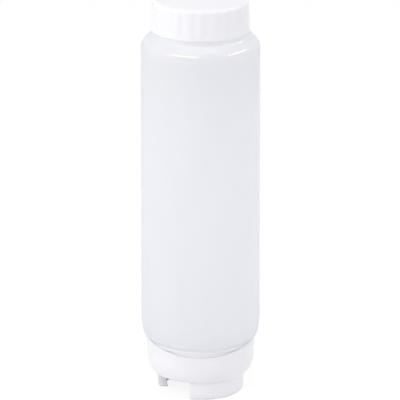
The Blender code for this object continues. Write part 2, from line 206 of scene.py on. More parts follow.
class BottleSettings(PropertyGroup):
    """Sizes and finish of the milky bottle."""

    wall: length("Wall", "Thickness of the blown wall", 1.4)
    upper_neck_r: length("Upper neck radius", "Neck under the refill cap, outside", 25.0)
    lower_neck_r: length("Lower neck radius", "Neck in the dispensing cap, outside", 27.1)
    cap_gap: length("Cap gap", "Air under the refill cap", 1.1)
    rim_gap: length("Rim gap", "Air above the dispensing cap's rim at the front", 2.7)
    neck_fillet: length("Neck fillet", "Rounding at the root of both necks", 1.0)
    neck_flat: length("Neck flat", "Radius where the upper shoulder starts to fall", 28.2)
    upper_collar_r: length("Upper collar radius", "Collar that the refill cap stops at", 29.3)
    collar_air: length("Collar air", "Air between the upper collar and its cap", 0.1)
    lower_collar_r: length("Lower collar radius", "Collar inside the bowl's rim", 30.65)
    lower_collar_reach: length("Lower collar reach", "How far it goes down in the rim", 0.8)
    upper_shoulder: length("Upper shoulder", "Height of the upper shoulder", 9.8)
    shoulder_round: length("Shoulder round", "Rounding of the upper shoulder", 7.0)
    lower_shoulder: length("Lower shoulder", "Height of the lower shoulder", 11.75)
    lower_tuck: length("Lower tuck", "Height of its tuck in to the ring", 0.1)
    lower_step: length("Lower step", "How far it stands out over the ring", 0.8)
    ring_r: length("Ring radius", "Radius of the ring between the cap's cheeks", 31.35)
    ring_height: length("Ring height", "Height of the ring under the lower shoulder", 3.05)
    ring_waist: length("Ring waist", "How far the wall draws in above the ring", 0.25)
    ring_round: length("Ring round", "Rounding of the ring", 0.45)
    lip_round: length("Lip round", "Rounding of the two mouths", 0.35)
    seam_height: length("Seam height", "Height of the mould's parting line", 0.12)
    seam_width: length("Seam width", "Width of the mould's parting line", 0.8)
    pale: tint("Pale milk", "Lighter tone of the wall", (0.957, 0.958, 0.972))
    deep: tint("Deep milk", "Darker tone of the wall", (0.947, 0.949, 0.965))
    # Lighter tone at both ends: partly the whiter thick plastic, partly painted fill that lifts
    # the shade under the lower shoulder, on the ring and under the refill cap
    thick_and_painted_fill: tint("Thick milk", "Tone of the thick plastic at both ends", (0.967, 0.969, 0.990))
    # The low fade spreads that painted lift far up the lower shoulder, where it faces the floor
    # and lies in shade
    low_fade: length("Low fade", "Height over which the wall thins above the ring", 50.0)
    high_fade: length("High fade", "Height over which it thins below the collar", 5.0)
    collar_share: share("Collar share", "How far the upper collar is as milky as the ring", 0.8)
    ring_fade: length("Ring fade", "Height over which the ring clears to the wall", 1.2)
    roughness: share("Roughness", "Mean roughness of the wall", 0.10)
    glow: share("Glow", "Share of the light that passes the thin wall's skin", 0.7)
    thick_glow: share("Thick glow", "Share of the light that passes the ring's skin", 0.25)


class ThreadSettings(PropertyGroup):
    """Sizes of the screw threads on the necks and in the caps."""

    pitch: length("Pitch", "Rise of the thread in one turn", 8.0)
    height: length("Height", "How far the thread stands out of its wall", 1.0)
    width: length("Width", "Width of the thread at its root", 2.4)
    sink: length("Sink", "How far the thread reaches into its wall", 0.5)
    run_out: angle("Run-out", "Turn over which the thread fades at each end", 24.0)


class RefillCapSettings(PropertyGroup):
    """Sizes of the refill cap."""

    draft: length("Draft", "How much the wall draws in towards the top", 0.9)
    wall: length("Wall", "Thickness of the wall", 1.9)
    top: length("Top", "Thickness of the top", 1.8)
    crown_round: length("Crown round", "Rounding of the top edge", 2.5)
    edge_round: length("Edge round", "Rounding of the other edges", 0.3)
    plain_band: length("Plain band", "Height of the plain band under the flutes", 1.6)
    flutes: number("Flutes", "Number of grip flutes", 24)
    flute_depth: length("Flute depth", "Depth of the grip flutes", 0.42)
    gate_r: length("Gate radius", "Radius of the moulding gate's dimple on the top", 0.9)
    gate_depth: length("Gate depth", "Depth of the moulding gate's dimple", 0.1)


class DispensingCapSettings(PropertyGroup):
    """Sizes of the dispensing cap, its legs and its valve's seat."""

    wall: length("Wall", "Thickness of the bowl at its rim", 2.0)
    straight: length("Straight", "Height of the bowl's upright part", 4.8)
    rim_wall: length("Rim wall", "Thickness of the rim at the front", 0.7)
    rim_round: length("Rim round", "Rounding of the rim", 0.5)
    cheek_rise: length("Cheek rise", "How much higher the rim stands at the sides", 5.6)
    cheek_wall: length("Cheek wall", "Thickness of the rim at the sides", 0.7)
    edge_round: length("Edge round", "Rounding of the other edges", 0.3)
    draft: length("Draft", "How much the bore draws in down to the ledge", 1.0)
    floor: length("Floor", "Thickness of the cap's floor", 2.0)
    ledge_rise: length("Ledge rise", "Height of the gasket's ledge above the floor", 3.0)
    ledge_inner_r: length("Ledge inner radius", "Radius of the well inside the ledge", 24.3)
    skirt_r: length("Skirt radius", "Radius of the bowl's flat underside", 25.8)
    leg_height: length("Leg height", "Height of the legs", 11.0)
    leg_set_in: length("Leg set-in", "How far the legs stand inside the skirt", 0.2)
    leg_wall: length("Leg wall", "Thickness of the legs", 2.0)
    leg_draw: length("Leg draw", "How far the legs curve inwards at the foot", 1.3)
    leg_curve: length("Leg curve", "Height over which the legs curve inwards", 5.0)
    leg_round: length("Leg round", "Rounding of the legs' edges", 0.6)
    rib_depth: length("Rib depth", "Depth of the ribs at the legs' ends", 5.4)
    rib_width: length("Rib width", "Thickness of the ribs", 2.0)
    legs: number("Legs", "Number of legs", 2)
    leg_sweep: angle("Leg sweep", "Turn that one leg covers", 105.0)
    leg_start: angle("Leg start", "Where the first leg starts, from +X", -105.0)
    outlet_r: length("Outlet radius", "Radius of the outlet", 9.0)
    outlet_chamfer: length("Outlet chamfer", "Chamfer of the outlet's lower edge", 0.5)
    boss_bore_r: length("Boss bore radius", "Inner radius of the valve's seat", 12.9)
    boss_r: length("Boss radius", "Outer radius of the valve's seat", 14.7)
    boss_height: length("Boss height", "Height of the valve's seat above the floor", 5.0)


class FinishSettings(PropertyGroup):
    """Colours of the caps, the seals and the valve."""

    cap_pale: tint("Cap white", "Lighter tone of the white caps", (0.957, 0.944, 1.0))
    cap_deep: tint("Cap shade", "Darker tone of the white caps", (0.942, 0.929, 0.99))
    cap_roughness: share("Cap roughness", "Mean roughness of the caps", 0.34)
    seal_pale: tint("Seal pale", "Lighter tone of the foam seals", (0.86, 0.86, 0.84))
    seal_deep: tint("Seal deep", "Darker tone of the foam seals", (0.74, 0.74, 0.71))
    valve_pale: tint("Valve pale", "Lighter tone of the silicone valve", (0.80, 0.81, 0.82))
    valve_deep: tint("Valve deep", "Darker tone of the silicone valve", (0.70, 0.71, 0.73))


class StageSettings(PropertyGroup):
    """Floor, light and camera."""

    floor_size: length("Floor size", "Width of the floor", 6000.0)
    floor_tint: tint("Floor", "Colour of the floor", (0.87, 0.87, 0.87))
    floor_shadow: share("Floor shadow", "How dark the shadow on the floor may get", 0.18)
    sky: share("Sky", "Strength of the even light from all around", 0.6)
    key_width: length("Key width", "Width of the left softbox", 850.0)
    key_height: length("Key height", "Height of the left softbox", 300.0)
    key_power: power("Key power", "Power of the left softbox", 3.7)
    strip_width: length("Strip width", "Length of the two strips that only show in gloss", 1100.0)
    strip_height: length("Strip height", "Height of those strips", 140.0)
    strip_power: power("Strip power", "Power of one strip", 5.0)
    side_width: length("Side width", "Width of the right softbox", 700.0)
    side_height: length("Side height", "Height of the right softbox", 250.0)
    side_power: power("Side power", "Power of the right softbox", 2.9)
    panel_width: length("Panel width", "Width of the large pale panel on the left", 1500.0)
    panel_height: length("Panel height", "Height of the large pale panel on the left", 1200.0)
    panel_power: power("Panel power", "Power of the left panel", 3.0)
    top_width: length("Top width", "Width of the panel overhead", 1200.0)
    top_height: length("Top depth", "Depth of the panel overhead", 1200.0)
    top_power: power("Top power", "Power of the panel overhead", 3.2)
    lamp_aim_z: length("Lamp aim", "Height that the lamps look at", 200.0)
    lamp_distance: length("Lamp distance", "Distance of the lamps from that point", 1200.0)
    view_distance: length("View distance", "Distance of the camera", 4000.0)
    view_rise: angle("View rise", "Camera's angle above level", 17.2)
    aim_x: FloatProperty(
        name="Aim across", description="Point across that the camera looks at",
        default=-0.0003, unit="LENGTH",
    )
    aim_z: length("Aim height", "Height that the camera looks at", 116.4)
    scale: FloatProperty(
        name="Scale", description="Pixels that a metre spans at the bottle, in a picture 400 wide",
        default=1692.0,
    )


def arc(centre, radius, start, end, steps, height=None):
    """Points on an arc of a profile, ends included; with a height it is part of an ellipse."""
    rise = radius if height is None else height
    points = []
    for step in range(steps + 1):
        turn = math.radians(start + (end - start) * step / steps)
        points.append((centre[0] + radius * math.cos(turn), centre[1] + rise * math.sin(turn)))
    return points


def curve(start, bend, end, steps):
    """Points on a quadratic curve between two points, ends included."""
    points = []
    for step in range(steps + 1):
        t = step / steps
        points.append(tuple((1 - t) ** 2 * start + 2 * t * (1 - t) * bend + t ** 2 * end))
    return points


def eased(part):
    """A share from 0 to 1 that starts and ends gently."""
    return part * part * (3.0 - 2.0 * part)


def even_turns(steps):
    """Angles spread evenly over one turn."""
    return [math.tau * step / steps for step in range(steps)]


def soften(path, radius, closed=True):
    """Round the sharp corners of a path."""
    spots = [Vector(point) for point in path]
    total = len(spots)
    result = []
    for index, spot in enumerate(spots):
        if not closed and index in (0, total - 1):
            result.append(tuple(spot))
            continue
        back = spots[index - 1] - spot
        on = spots[(index + 1) % total] - spot
        turn = math.pi - back.angle(on)
        if turn < CORNER_ANGLE:
            result.append(tuple(spot))
            continue
        most = CORNER_SHARE * min(back.length, on.length)
        reach = min(radius * math.tan(turn / 2), most)
        start = spot + back.normalized() * reach
        end = spot + on.normalized() * reach
        result += curve(start, spot, end, CORNER_STEPS)
    return result


def smooth(mesh):
    """Shade a mesh smooth, apart from its sharp edges."""
    mesh.shade_smooth()
    mesh.set_sharp_from_angle(angle=SMOOTH_ANGLE)
    return mesh


def settle(name, shape):
    """Turn a worked shape into an object with its faces pointing out and smooth shading."""
    bmesh.ops.recalc_face_normals(shape, faces=shape.faces)
    mesh = bpy.data.meshes.new(name)
    shape.to_mesh(mesh)
    shape.free()
    piece = bpy.data.objects.new(name, smooth(mesh))
    bpy.context.scene.collection.objects.link(piece)
    return piece


def turned(name, path, closed=True, turns=None, warp=None, side=None):
    """A profile of (radius, height) points swept round the Z axis.

    Where a side profile is given, the sweep goes over into it at both sides; warp may change a
    radius. A profile that isn't closed starts and ends on the axis.
    """
    shape = bmesh.new()
    columns = []
    poles = {}
    for turn in turns or even_turns(ROUND_STEPS):
        column = []
        for index, (r, z) in enumerate(path):
            if r < POLE_R:
                if index not in poles:
                    poles[index] = shape.verts.new((0.0, 0.0, z))
                column.append(poles[index])
                continue
            if side:
                r, z = Vector((r, z)).lerp(Vector(side[index]), math.cos(turn) ** 2)
            reach = warp(r, z, turn) if warp else r
            column.append(shape.verts.new((reach * math.cos(turn), reach * math.sin(turn), z)))
        columns.append(column)
    count = len(path)
    for index, column in enumerate(columns):
        other = columns[(index + 1) % len(columns)]
        for row in range(count if closed else count - 1):
            under = (row + 1) % count
            corners = [column[row], column[under], other[under], other[row]]
            corners = list(dict.fromkeys(corners))
            if len(corners) > 2:
                shape.faces.new(corners)
    if side:
        bmesh.ops.triangulate(shape, faces=shape.faces)
    return settle(name, shape)


def skinned(name, rows):
    """A closed shape over rows of points that each go round it, with a face over each end."""
    shape = bmesh.new()
    rings = [[shape.verts.new(point) for point in row] for row in rows]
    for first, second in zip(rings, rings[1:]):
        for index in range(len(first)):
            after = (index + 1) % len(first)
            shape.faces.new([first[index], first[after], second[after], second[index]])
    shape.faces.new(rings[0])
    shape.faces.new(rings[-1])
    return settle(name, shape)


def apply_modifiers(piece):
    """Fix the modifiers' result as the piece's own mesh."""
    bpy.context.view_layer.update()
    view = bpy.context.evaluated_depsgraph_get()
    mesh = bpy.data.meshes.new_from_object(piece.evaluated_get(view))
    piece.modifiers.clear()
    piece.data = smooth(mesh)
    return piece


def rounded(piece, width, steps, least_angle):
    """Round a piece's edges that turn by more than an angle."""
    rounding = piece.modifiers.new("edges", "BEVEL")
    rounding.width = width
    rounding.segments = steps
    rounding.limit_method = "ANGLE"
    rounding.angle_limit = least_angle
    return apply_modifiers(piece)


def joined(piece, tool):
    """Join a second closed shape to a piece, which takes it up."""
    joining = piece.modifiers.new(tool.name, "BOOLEAN")
    joining.operation = "UNION"
    joining.solver = "EXACT"
    joining.object = tool
    apply_modifiers(piece)
    bpy.data.objects.remove(tool, do_unlink=True)


def cleaned(piece):
    """Merge the points that lie on top of each other after a join, and drop faces without area."""
    shape = bmesh.new()
    shape.from_mesh(piece.data)
    bmesh.ops.remove_doubles(shape, verts=shape.verts, dist=MERGE_DISTANCE)
    bmesh.ops.dissolve_degenerate(shape, edges=shape.edges, dist=MERGE_DISTANCE)
    shape.to_mesh(piece.data)
    shape.free()


def thread(name, wall_r, outward, low, high, start):
    """A screw thread as a rounded bead along a right-hand helix, faded at both ends."""
    settings = bpy.context.scene.bottle_thread
    turns = (high - low) / settings.pitch
    steps = round(turns * THREAD_STEPS)
    half = settings.width / 2
    side = 1.0 if outward else -1.0
    rows = []
    for step in range(steps + 1):
        turn = turns * math.tau * step / steps
        end = min(turn, turns * math.tau - turn)
        fade = eased(min(1.0, end / settings.run_out))
        level = low + settings.pitch * turn / math.tau
        where = turn + start
        row = []
        for across, up in THREAD_BEAD:
            rise = settings.height * up * fade if up else -settings.sink
            r = wall_r + side * rise
            row.append((r * math.cos(where), r * math.sin(where), level + half * across))
        rows.append(row)
    return skinned(name, rows)


def dressed(piece, body, material, slot, *nodes):
    """Give a piece its finish, hang it on its body and let it stand for solids of the model."""
    piece.data.materials.clear()
    piece.data.materials.append(material)
    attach(piece, body)
    if nodes:
        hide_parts(*nodes)


class Nodes:
    """A node tree that is built step by step."""

    def __init__(self, tree):
        self.tree = tree

    def feed(self, node, **values):
        """Give inputs of a node, by name, an output to follow or a value of their own."""
        for key, value in values.items():
            target = node.inputs[key.replace("_", " ")]
            if isinstance(value, bpy.types.NodeSocket):
                self.tree.links.new(value, target)
            else:
                target.default_value = value

    def add(self, kind, *sources, **values):
        """Add a node whose first inputs follow the sources, with others given by name."""
        made = self.tree.nodes.new(kind)
        for source, target in zip(sources, made.inputs):
            self.tree.links.new(source, target)
        self.feed(made, **values)
        return made

    def larger(self, first, second):
        """The larger one of two values."""
        choice = self.add("ShaderNodeMath", first, second)
        choice.operation = "MAXIMUM"
        return choice.outputs["Value"]

    def mixed(self, part, first, second):
        """Two shaders mixed: the first one where a part is 0, the second one where it is 1."""
        return self.add("ShaderNodeMixShader", part, first, second).outputs["Shader"]


class Finish(Nodes):
    """A node material round one Principled shader."""

    def __init__(self, name):
        self.material = bpy.data.materials.new(name)
        self.material.use_nodes = True
        super().__init__(self.material.node_tree)
        self.shader = self.tree.nodes["Principled BSDF"]
        self.place = self.add("ShaderNodeTexCoord").outputs["Object"]

    def put(self, **values):
        """Give inputs of the shader itself a value or an output to follow."""
        self.feed(self.shader, **values)

    def source(self, name):
        """The output that an input of the shader follows, if any."""
        links = self.shader.inputs[name].links
        return links[0].from_socket if links else None

    def noise(self, scale, detail, roughness=0.5, stretch=None):
        """Soft noise in the piece's own space, stretched along an axis where asked."""
        place = self.place
        if stretch:
            place = self.add("ShaderNodeMapping", place, Scale=stretch).outputs["Vector"]
        texture = self.add(
            "ShaderNodeTexNoise", place, Scale=scale, Detail=detail, Roughness=roughness
        )
        return texture.outputs["Fac"]

    def tone(self, pale, deep, drift):
        """Base colour between two tones."""
        ramp = self.add("ShaderNodeValToRGB", drift)
        stops = ((TONE_LOW, deep), (TONE_HIGH, pale))
        for stop, (position, colour) in zip(ramp.color_ramp.elements, stops):
            stop.position = position
            stop.color = (*colour, 1.0)
        self.put(Base_Color=ramp.outputs["Color"])

    def level(self, full, none, most=1.0):
        """The most from one level on, fading to 0 at another one."""
        height = self.add("ShaderNodeSeparateXYZ", self.place).outputs["Z"]
        fade = self.add("ShaderNodeMapRange", height, From_Min=none, From_Max=full, To_Max=most)
        return fade.outputs["Result"]

    def go_over(self, colour, part):
        """Let the base colour go over into another one where a part is 1."""
        before = self.source("Base Color")
        blend = self.add("ShaderNodeMixRGB", part, before, Color2=(*colour, 1.0))
        self.put(Base_Color=blend.outputs["Color"])

    def gloss(self, drift, low, high):
        """Roughness that wanders between two values."""
        spread = self.add("ShaderNodeMapRange", drift, To_Min=low, To_Max=high)
        self.put(Roughness=spread.outputs["Result"])

    def relief(self, height, depth, strength):
        """A bump of a depth in metres, laid over the one before it."""
        bump = self.add("ShaderNodeBump", Strength=strength, Distance=depth, Height=height)
        before = self.source("Normal")
        if before:
            self.feed(bump, Normal=before)
        self.put(Normal=bump.outputs["Normal"])

    def let_through(self, most, least, part):
        """Let a share of the light, the least where a part is 1, pass and scatter behind."""
        through = self.add(
            "ShaderNodeBsdfTranslucent", self.source("Base Color"), self.source("Normal")
        )
        amount = self.add("ShaderNodeMapRange", part, To_Min=most, To_Max=least)
        surface = self.mixed(
            amount.outputs["Result"], self.shader.outputs["BSDF"], through.outputs["BSDF"]
        )
        self.feed(self.tree.nodes["Material Output"], Surface=surface)


def milky_polyethylene():
    """Blown polyethylene: milky, light goes into it, with faint waves and a fine skin; both ends
    get a lighter tone that is partly thick plastic and partly painted fill light.
    """
    bottle = bpy.context.scene.bottle_body
    finish = Finish("milky_polyethylene")
    waves = finish.noise(scale=26.0, detail=2.0, stretch=(1.0, 1.0, 0.35))
    skin = finish.noise(scale=1400.0, detail=2.0)
    streaks = finish.noise(scale=220.0, detail=4.0, stretch=(1.0, 1.0, 0.06))
    finish.tone(bottle.pale, bottle.deep, waves)
    collar_z, *_, ring_low = body_levels(bottle)
    ring_z = ring_low + 2 * bottle.ring_round
    collar_end = collar_z - bottle.high_fade
    # Painted fill light: the lighter tone rises from the ring over the low fade and falls from the
    # upper collar, partly thick plastic, partly lifting shade
    finish.go_over(bottle.thick_and_painted_fill, finish.level(ring_z, ring_z + bottle.low_fade))
    finish.go_over(bottle.thick_and_painted_fill, finish.level(collar_z, collar_end))
    finish.gloss(streaks, low=bottle.roughness - 0.02, high=bottle.roughness + 0.03)
    finish.relief(waves, depth=0.4 * MM, strength=0.10)
    finish.relief(skin, depth=0.01 * MM, strength=0.2)
    finish.put(IOR=1.75, Specular_IOR_Level=1.0)
    ring = finish.level(ring_z, ring_z + bottle.ring_fade)
    collar = finish.level(collar_z, collar_end, bottle.collar_share)
    finish.let_through(bottle.glow, bottle.thick_glow, finish.larger(ring, collar))
    return finish.material


def white_polypropylene():
    """Moulded polypropylene: white, soft gloss, with flow marks and a fine mould grain."""
    settings = bpy.context.scene.bottle_finish
    finish = Finish("white_polypropylene")
    flow = finish.noise(scale=60.0, detail=3.0, stretch=(1.0, 1.0, 0.4))
    grain = finish.noise(scale=2600.0, detail=2.0)
    rub = finish.noise(scale=340.0, detail=5.0, roughness=0.7)
    finish.tone(settings.cap_pale, settings.cap_deep, flow)
    finish.gloss(rub, low=settings.cap_roughness - 0.07, high=settings.cap_roughness + 0.09)
    finish.relief(flow, depth=0.15 * MM, strength=0.10)
    finish.relief(grain, depth=0.006 * MM, strength=0.2)
    finish.put(IOR=1.49, Specular_IOR_Level=0.3)
    finish.put(Subsurface_Weight=0.4, Subsurface_Scale=2.5 * MM, Subsurface_Radius=EVEN_SCATTER)
    return finish.material


def pale_foam():
    """Closed-cell foam of the two seals: small cells pressed flat."""
    settings = bpy.context.scene.bottle_finish
    finish = Finish("pale_foam")
    cells = finish.add("ShaderNodeTexVoronoi", finish.place, Scale=1900.0)
    cloud = finish.noise(scale=160.0, detail=4.0)
    finish.tone(settings.seal_pale, settings.seal_deep, cloud)
    finish.gloss(cloud, low=0.58, high=0.78)
    finish.relief(cells.outputs["Distance"], depth=0.12 * MM, strength=0.5)
    finish.put(Specular_IOR_Level=0.3)
    return finish.material


def clear_silicone():
    """Silicone of the slit valve: cloudy, soft sheen, with a dusting of fine grain."""
    settings = bpy.context.scene.bottle_finish
    finish = Finish("clear_silicone")
    cloud = finish.noise(scale=240.0, detail=3.0)
    grain = finish.noise(scale=3200.0, detail=2.0)
    finish.tone(settings.valve_pale, settings.valve_deep, cloud)
    finish.gloss(cloud, low=0.34, high=0.5)
    finish.relief(grain, depth=0.02 * MM, strength=0.3)
    finish.put(IOR=1.41)
    finish.put(Subsurface_Weight=0.6, Subsurface_Scale=2.0 * MM, Subsurface_Radius=EVEN_SCATTER)
    return finish.material


def bowl_rim_z():
    """Level of the dispensing cap's rim at the front."""
    return CHEEK_TOP_Z - bpy.context.scene.bottle_dispensing.cheek_rise


def body_levels(bottle):
    """Levels of the bottle from the upper neck's root down to the lower one."""
    root_z = REFILL_LOW_Z - bottle.cap_gap
    straight_top = root_z - bottle.upper_shoulder
    ring_low = bowl_rim_z() + bottle.rim_gap
    ring_top = ring_low + bottle.ring_height
    straight_low = ring_top + bottle.lower_shoulder
    return root_z, straight_top, straight_low, ring_top, ring_low


def shoulder_slope(bottle):
    """Fall of the upper shoulder for each step outwards, from the neck to its rounding."""
    turn = math.radians(SHOULDER_FALL)
    run = BODY_R - bottle.shoulder_round * (1 - math.cos(turn)) - bottle.neck_flat
    return (bottle.upper_shoulder - bottle.shoulder_round * math.sin(turn)) / run


def body_outline(bottle):
    """Outer outline of the bottle from the upper mouth down to the lower one."""
    root_z, straight_top, straight_low, ring_top, ring_low = body_levels(bottle)
    fillet = bottle.neck_fillet
    stop_top = REFILL_LOW_Z - bottle.collar_air
    path = [(bottle.upper_neck_r, NECK_TOP_Z)]
    path += arc((bottle.upper_neck_r + fillet, stop_top + fillet), fillet, IN, DOWN, steps=6)
    collar_r = bottle.upper_collar_r
    slope = shoulder_slope(bottle)
    foot_z = root_z - slope * (collar_r - bottle.neck_flat)
    run = fillet / 2
    flow = Vector((collar_r + run, foot_z - slope * run))
    path += curve(Vector((collar_r, stop_top)), Vector((collar_r, foot_z)), flow, steps=8)
    crown = bottle.shoulder_round
    path += arc((BODY_R - crown, straight_top), crown, SHOULDER_FALL, OUT, steps=16)
    tall = straight_top - straight_low
    path += [(BODY_R, straight_low + tall * (1 - i / WALL_ROWS)) for i in range(1, WALL_ROWS)]
    foot_r = bottle.ring_r + bottle.lower_step
    drop = bottle.lower_shoulder - bottle.lower_tuck
    path += arc((foot_r, straight_low), BODY_R - foot_r, OUT, TUCK_END, steps=20, height=drop)
    edge = bottle.ring_round
    bead = arc((bottle.ring_r - edge, ring_low + edge), edge, BEAD_START, UNDER, steps=12)
    waist = Vector((bottle.ring_r - bottle.ring_waist, ring_top))
    path += curve(Vector(path[-1]), waist, Vector(bead[0]), steps=10)[1:-1] + bead
    collar_low = bowl_rim_z() - bottle.lower_collar_reach
    path += [(bottle.lower_collar_r, ring_low), (bottle.lower_collar_r, collar_low)]
    path += arc((bottle.lower_neck_r + fillet, collar_low - fillet), fillet, UP, IN, steps=6)
    return path + [(bottle.lower_neck_r, NECK_LOW_Z)]


def body_inner_outline(bottle):
    """Inner outline of the bottle from the upper mouth down to the lower one."""
    root_z, straight_top, straight_low, _, ring_low = body_levels(bottle)
    wall = bottle.wall
    upper_r = bottle.upper_neck_r - wall
    lower_r = bottle.lower_neck_r - wall
    inner_r = BODY_R - wall
    crown = bottle.shoulder_round - wall
    path = [(upper_r, NECK_TOP_Z)]
    bend = (upper_r + crown, root_z - 2 * wall + crown / 2)
    path += arc(bend, crown, IN, DOWN, steps=8, height=crown / 2)
    path += arc((inner_r - crown, straight_top), crown, SHOULDER_FALL, OUT, steps=12)
    draw_in = inner_r + wall - bottle.ring_r
    drop = bottle.lower_shoulder - wall
    tuck = (bottle.ring_r - wall, straight_low)
    path += arc(tuck, draw_in, OUT, INNER_TUCK_END, steps=12, height=drop)
    start = Vector(path[-1])
    middle = Vector((lower_r, (start.y + ring_low) / 2))
    path += curve(start, middle, Vector((lower_r, ring_low - 2 * wall)), steps=8)[1:]
    return path + [(lower_r, NECK_LOW_Z)]


class BOTTLE_OT_body(Operator):
    """Build the milky bottle with the threads of its two necks"""

    bl_idname = "squeeze_bottle.body"
    bl_label = "Milky bottle"

    def execute(self, context):
        bottle = context.scene.bottle_body
        material = milky_polyethylene()
        root_z, straight_top, straight_low, _, ring_low = body_levels(bottle)
        path = soften(body_outline(bottle) + body_inner_outline(bottle)[::-1], bottle.lip_round)
        seam_turn = bottle.seam_width / BODY_R
        turns = even_turns(ROUND_STEPS)
        for middle in (0.0, math.pi):
            turns += [middle + seam_turn * quarters / 4 for quarters in (-2, -1, 1, 2)]
        turns = sorted({round(turn % math.tau, TURN_DECIMALS) for turn in turns})
        run_out = bottle.shoulder_round / 2

        def parting_line(r, z, turn):
            """Raise the wall a little along the mould's parting line."""
            if r < BODY_R - bottle.wall / 2:
                return r
            apart = min(abs(turn), abs(turn - math.pi), abs(turn - math.tau))
            near = max(0.0, 1.0 - 2 * apart / seam_turn)
            beyond = max(z - straight_top, straight_low - z, 0.0)
            return r + bottle.seam_height * near * max(0.0, 1.0 - beyond / run_out)

        piece = turned("milky_bottle", path, turns=turns, warp=parting_line)
        dressed(piece, "bottle", material, "milky_body", "bottle_body")
        upper = thread(
            "upper_neck_thread", bottle.upper_neck_r, True, root_z + UPPER_ROOT_ROOM,
            NECK_TOP_Z - UPPER_MOUTH_ROOM, UPPER_THREAD_START,
        )
        dressed(upper, "bottle", material, "milky_body")
        lower = thread(
            "lower_neck_thread", bottle.lower_neck_r, True, NECK_LOW_Z + LOWER_MOUTH_ROOM,
            ring_low - LOWER_RING_ROOM, LOWER_THREAD_START,
        )
        dressed(lower, "bottle", material, "milky_body")
        return {"FINISHED"}


class BOTTLE_OT_refill_cap(Operator):
    """Build the fluted refill cap, its thread and its sealing disc"""

    bl_idname = "squeeze_bottle.refill_cap"
    bl_label = "Refill cap"

    def execute(self, context):
        cap = context.scene.bottle_refill
        bottle = context.scene.bottle_body
        height = REFILL_TOP_Z - REFILL_LOW_Z
        top_r = REFILL_R - cap.draft
        crown_z = height - cap.crown_round
        ceiling = height - cap.top
        wall_r = REFILL_R - cap.wall

        def grip_r(level):
            """Outer radius of the drafted wall at a level above the cap's edge."""
            return REFILL_R - cap.draft * level / crown_z

        dimple = height - cap.gate_depth
        path = [(0.0, dimple), (cap.gate_r * GATE_FLAT, dimple)]
        path += [(cap.gate_r, height), (cap.gate_r * GATE_SURROUND, height)]
        path += arc((top_r - cap.crown_round, crown_z), cap.crown_round, UP, OUT, steps=12)
        levels = [crown_z * (1 - i / GRIP_ROWS) for i in range(1, GRIP_ROWS)]
        path += [(grip_r(level), level) for level in levels]
        path += [(REFILL_R, 0.0), (wall_r, 0.0), (top_r - cap.wall, ceiling), (0.0, ceiling)]
        path = [(r, z + REFILL_LOW_Z) for r, z in soften(path, cap.edge_round, closed=False)]

        def flute(r, z, turn):
            """Dip the wall between the grip ridges, fading into the plain band and the crown."""
            level = z - REFILL_LOW_Z
            if r < REFILL_R - cap.wall / 2 - cap.draft or level < cap.plain_band:
                return r
            fade = min(1.0, (level - cap.plain_band) / cap.plain_band)
            if level > crown_z:
                run_out = FLUTE_RUN_OUT * cap.crown_round
                fade *= max(0.0, 1.0 - (level - crown_z) / run_out)
            return r - cap.flute_depth * fade * (1.0 - math.cos(cap.flutes * turn)) / 2

        turns = even_turns(cap.flutes * FLUTE_STEPS)
        piece = turned("fluted_refill_cap", path, closed=False, turns=turns, warp=flute)
        material = white_polypropylene()
        dressed(piece, "refill_closure", material, "white_cap", "refill_cap")
        half_pitch = context.scene.bottle_thread.pitch / 2
        bead = thread(
            "refill_cap_thread", wall_r - cap.draft / 2, False,
            REFILL_LOW_Z - bottle.cap_gap + UPPER_ROOT_ROOM + half_pitch,
            NECK_TOP_Z - REFILL_THREAD_ROOM, UPPER_THREAD_START,
        )
        dressed(bead, "refill_closure", material, "white_cap")

        disc_r = node_radius("refill_cap_liner")
        low, high = node_levels("refill_cap_liner")
        neck_r = bottle.upper_neck_r
        mouth_r = neck_r - bottle.wall
        disc = [(0.0, high), (disc_r, high), (disc_r, low), (neck_r + DENT_SLOPE, low)]
        disc += [(neck_r, low + DISC_DENT), (mouth_r, low + DISC_DENT)]
        disc += [(mouth_r - DENT_SLOPE, low), (0.0, low)]
        liner = turned("sealing_disc", soften(disc, DISC_ROUND, closed=False), closed=False)
        dressed(liner, "refill_seal", pale_foam(), "pale_seal", "refill_cap_liner")
        return {"FINISHED"}


def leg_plan(cap, start):
    """A leg seen from below: an arc wall whose two ends turn inwards as ribs."""
    leg_r = cap.skirt_r - cap.leg_set_in
    inner_r = leg_r - cap.leg_wall
    rib_r = leg_r - cap.rib_depth
    rib_turn = cap.rib_width / leg_r
    end = start + cap.leg_sweep
    span = cap.leg_sweep - 2 * rib_turn
    steps = range(LEG_STEPS + 1)
    outer = [(leg_r, start + cap.leg_sweep * step / LEG_STEPS) for step in steps]
    inner = [(inner_r, start + rib_turn + span * step / LEG_STEPS) for step in steps]
    polar = outer + [(rib_r, end), (rib_r, end - rib_turn)] + inner[::-1]
    polar += [(rib_r, start + rib_turn), (rib_r, start)]
    return [(r * math.cos(turn), r * math.sin(turn)) for r, turn in polar]


def leg(cap, index):
    """One leg of the dispensing cap, drawn in at its foot, with rounded edges."""
    plan = leg_plan(cap, cap.leg_start + index * math.tau / cap.legs)
    leg_r = cap.skirt_r - cap.leg_set_in
    levels = [cap.leg_curve * row / LEG_CURVE_ROWS for row in range(LEG_CURVE_ROWS + 1)]
    rows = []
    for level in levels + [cap.leg_height + cap.floor / 2]:
        dip = max(0.0, 1.0 - level / cap.leg_curve)
        draw = 1.0 - cap.leg_draw * (1.0 - math.sqrt(1.0 - dip * dip)) / leg_r
        rows.append([(x * draw, y * draw, FOOT_Z + level) for x, y in plan])
    piece = skinned(f"leg_tool_{index + 1}", rows)
    return rounded(piece, cap.leg_round, LEG_EDGE_STEPS, LEG_EDGE_ANGLE)


